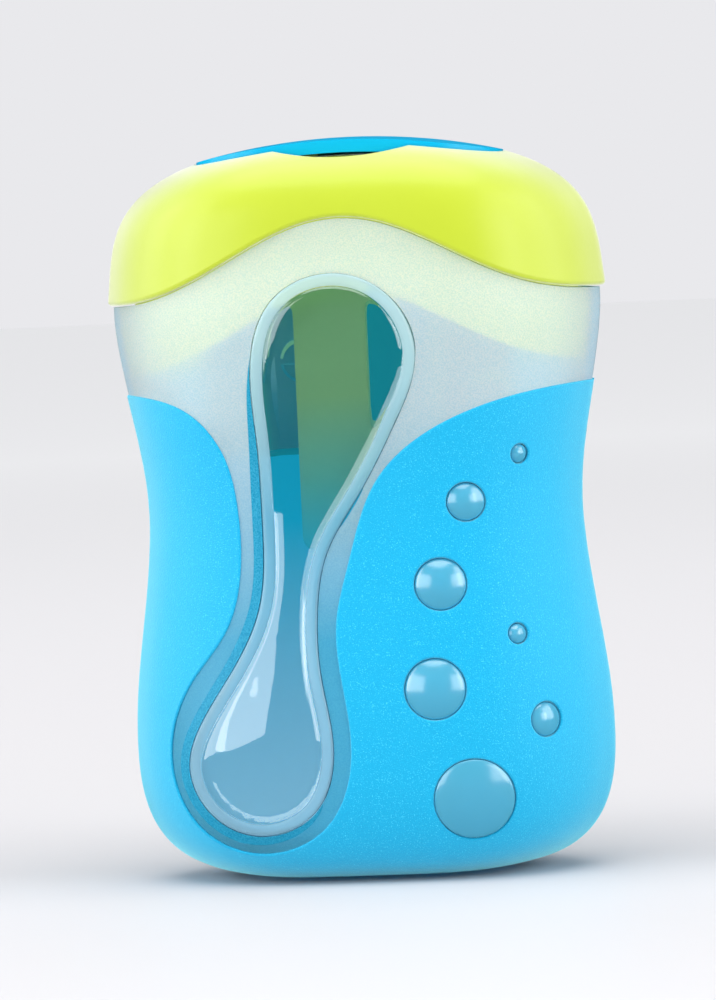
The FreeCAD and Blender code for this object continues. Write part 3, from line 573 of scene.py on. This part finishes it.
def dome_glass(index, x, z, radius, material):
    """A clear lens that bulges out of its hole in the grip."""
    radius -= DOME_PLAY
    middle, up = front_point(x, z), front_normal(x, z)
    right = Vector((0, 0, 1)).cross(-up).normalized()
    above = right.cross(up)
    top = min(DOME_TOP_MOST, DOME_TOP_SHARE * radius + DOME_TOP_LEAST)
    profile = [(1.0, -DOME_FOOT), (1.0, -DOME_SUNK - DOME_PLAY), (DOME_SHOULDER, -DOME_SUNK)]
    for ring in range(1, DOME_RINGS):
        share = 1.0 - ring / DOME_RINGS
        profile.append((share, top - (top + DOME_SUNK) * share ** DOME_POWER))
    mesh = bmesh.new()
    rows = []
    for share, height in profile:
        row = []
        for side in range(DOME_SIDES):
            angle = 2.0 * math.pi * side / DOME_SIDES
            across = (right * math.cos(angle) + above * math.sin(angle)) * radius * share
            row.append(mesh.verts.new((middle + across + up * height) * MM))
        rows.append(row)
    for outer, inner in zip(rows, rows[1:]):
        for side in range(DOME_SIDES):
            after = (side + 1) % DOME_SIDES
            mesh.faces.new((outer[side], outer[after], inner[after], inner[side]))
    peak = mesh.verts.new((middle + up * top) * MM)
    for side in range(DOME_SIDES):
        mesh.faces.new((rows[-1][side], rows[-1][(side + 1) % DOME_SIDES], peak))
    mesh.faces.new(list(reversed(rows[0])))
    piece = finished("dome_glass_%d" % index, mesh, material)
    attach(piece, "canister")
    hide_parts("bubble_%d" % index)


# ---------------------------------------------------------------- materials on the pieces
INNER_BACK = 3.0  # the inner wall's material starts this far behind the middle
INNER_FLOOR = 1.0
POST_SIDES = (-6.2, 2.5)
POST_DEPTHS = (-9.4, -7.0)
POST_TOP = 66.0
INWARD = -0.5  # at most, for a face that looks at the middle


def faces_inwards(point, normal):
    """Whether a face of the canister is on the inside of its back."""
    outwards = point.x * normal.x * DEPTH_RATIO ** 2 + point.y * normal.y
    return point.z > INNER_FLOOR and point.y > INNER_BACK and outwards < INWARD


def on_post(point, normal):
    """Whether a face of the carrier is on its middle post, whichever way it looks."""
    across = POST_SIDES[0] <= point.x <= POST_SIDES[1]
    return across and POST_DEPTHS[0] < point.y < POST_DEPTHS[1] and point.z < POST_TOP


teal = block_plastic()
paint(frosted_plastic(), "canister_shell")
paint_where(inner_wall("inner_wall", 4 * MM, 60 * MM), "canister_shell", faces_inwards)
window_glass()
window_groove()
dome_plastic = clear_plastic("dome_plastic", (0.10, 0.52, 0.75), 0.19, 0.35)
for index, (x, z, radius) in enumerate(DOMES, start=1):
    dome_glass(index, x, z, radius, dome_plastic)
paint(grip_rubber(), "grip_overmould")
paint(lime_plastic("lime_plastic", 0.3), "cap_shell")
paint(lime_plastic("lime_inner", 0.42, 0.72), "carrier")
paint_where(post_plastic(), "carrier", on_post)
paint(cover_plastic(), "flip_cover")
paint(teal, "sharpener_standard", "sharpener_jumbo")
steel = metal("ground_steel", (0.34, 0.52, 0.56), 0.3, 0.45, (6, 1, 1))
paint(steel, "blade_standard", "blade_jumbo", "blade_screws", "hinge_pin")


# ---------------------------------------------------------------- stage, light and camera
REFLECTED_ROOM = 0.03  # what shiny surfaces see of the room between the softboxes
FLOOR_SIZE = 6.0
FLOOR_GAP = 0.0002


def reflected_dark(tree, shader):
    """Shader as before, but dim where it is seen in a reflection."""
    backdrop = shader.node.type == "BACKGROUND"
    dim = tree.nodes.new("ShaderNodeBackground" if backdrop else "ShaderNodeEmission")
    dim.inputs["Color"].default_value = (0.8, 0.95, 1.0, 1.0)
    dim.inputs["Strength"].default_value = REFLECTED_ROOM
    path = tree.nodes.new("ShaderNodeLightPath")
    mix = tree.nodes.new("ShaderNodeMixShader")
    tree.links.new(path.outputs["Is Glossy Ray"], mix.inputs["Fac"])
    tree.links.new(shader, mix.inputs[1])
    tree.links.new(dim.outputs[0], mix.inputs[2])
    return mix.outputs["Shader"]


def pale_floor():
    """A large pale sheet, a little darker near the object, where the softboxes are close."""
    level = cad_box[0][2] - FLOOR_GAP
    bpy.ops.mesh.primitive_plane_add(size=FLOOR_SIZE, location=(0, 0, level))
    floor = bpy.context.object
    floor.name = "floor"
    surface = Surface("pale_floor", (0.86, 0.86, 0.88), 0.6)
    distance = surface.tree.nodes.new("ShaderNodeVectorMath")
    distance.operation = "LENGTH"
    surface.tree.links.new(surface.place, distance.inputs[0])
    surface.colour(surface.ramp(distance.outputs["Value"],
                                [(0.0, (0.60, 0.59, 0.605)), (0.25, (0.68, 0.67, 0.69)),
                                 (1.0, (0.94, 0.94, 0.96))]))
    surface.bump(surface.noise(300.0), 0.02)
    sheet = reflected_dark(surface.tree, surface.shader.outputs["BSDF"])
    surface.tree.links.new(sheet, surface.tree.nodes["Material Output"].inputs["Surface"])
    floor.data.materials.append(surface.material)


def direction(azimuth, elevation):
    """Unit vector towards that side: azimuth 0 is the front, 90 the right."""
    a, e = math.radians(azimuth), math.radians(elevation)
    return Vector((math.sin(a) * math.cos(e), -math.cos(a) * math.cos(e), math.sin(e)))


def soft_light(name, azimuth, elevation, distance, target, width, height, power):
    """A large rectangular softbox."""
    data = bpy.data.lights.new(name, "AREA")
    data.shape = "RECTANGLE"
    data.size = width
    data.size_y = height
    data.energy = power
    lamp = bpy.data.objects.new(name, data)
    bpy.context.scene.collection.objects.link(lamp)
    away = direction(azimuth, elevation)
    lamp.location = target + away * distance
    lamp.rotation_euler = away.to_track_quat("Z", "Y").to_euler()


def plain_colours():
    """Shows the colours of the materials as they are, without a film look."""
    bpy.context.scene.view_settings.view_transform = "Standard"


def pale_world(lighting, backdrop):
    """A pale surround that lights the object softly and shows as a plain bright backdrop."""
    world = bpy.data.worlds.new("pale")
    bpy.context.scene.world = world
    world.use_nodes = True
    tree = world.node_tree
    light = tree.nodes["Background"]
    light.inputs["Color"].default_value = (0.95, 0.97, 1.0, 1.0)
    light.inputs["Strength"].default_value = lighting
    shown = tree.nodes.new("ShaderNodeBackground")
    shown.inputs["Color"].default_value = (0.97, 0.97, 1.0, 1.0)
    shown.inputs["Strength"].default_value = backdrop
    path = tree.nodes.new("ShaderNodeLightPath")
    mix = tree.nodes.new("ShaderNodeMixShader")
    tree.links.new(path.outputs["Is Camera Ray"], mix.inputs["Fac"])
    tree.links.new(reflected_dark(tree, light.outputs["Background"]), mix.inputs[1])
    tree.links.new(shown.outputs["Background"], mix.inputs[2])
    tree.links.new(mix.outputs["Shader"], tree.nodes["World Output"].inputs["Surface"])


def soft_sun(azimuth, elevation, strength, angle):
    """Even light over the whole floor."""
    data = bpy.data.lights.new("sky_panel", "SUN")
    data.energy = strength
    data.angle = math.radians(angle)
    lamp = bpy.data.objects.new("sky_panel", data)
    bpy.context.scene.collection.objects.link(lamp)
    lamp.rotation_euler = direction(azimuth, elevation).to_track_quat("Z", "Y").to_euler()


def aim_camera(target, azimuth, elevation, distance, field_height, roll):
    """A camera at distance from target, which shows field_height there."""
    data = bpy.data.cameras.new("camera")
    data.lens = data.sensor_width * distance / field_height
    data.clip_start = 0.01
    camera = bpy.data.objects.new("camera", data)
    bpy.context.scene.collection.objects.link(camera)
    away = direction(azimuth, elevation)
    facing = (-away).to_track_quat("-Z", "Y").to_matrix().to_4x4()
    spin = Matrix.Rotation(math.radians(roll), 4, "Z")
    camera.matrix_world = Matrix.Translation(Vector(target) + away * distance) @ facing @ spin
    bpy.context.scene.camera = camera


middle = Vector((0, 0, 36 * MM))
plain_colours()
pale_floor()
pale_world(0.17, 0.84)
soft_sun(0.0, 78.0, 2.6, 60.0)
soft_light("left_box", -75.0, 12.0, 0.55, middle, 0.5, 0.7, 3.0)
soft_light("right_box", 75.0, 12.0, 0.55, middle, 0.5, 0.7, 3.2)
soft_light("left_front_panel", -41.0, 6.0, 0.55, middle, 0.42, 0.42, 1.7)
soft_light("right_front_panel", 48.0, 8.0, 0.55, middle, 0.26, 0.34, 0.8)
soft_light("back_box", 180.0, 56.0, 0.6, middle, 0.5, 0.4, 0.5)
aim_camera((-0.7 * MM, 0, 37.1 * MM), 6.4, 3.0, 0.55, 0.1, -2.6)
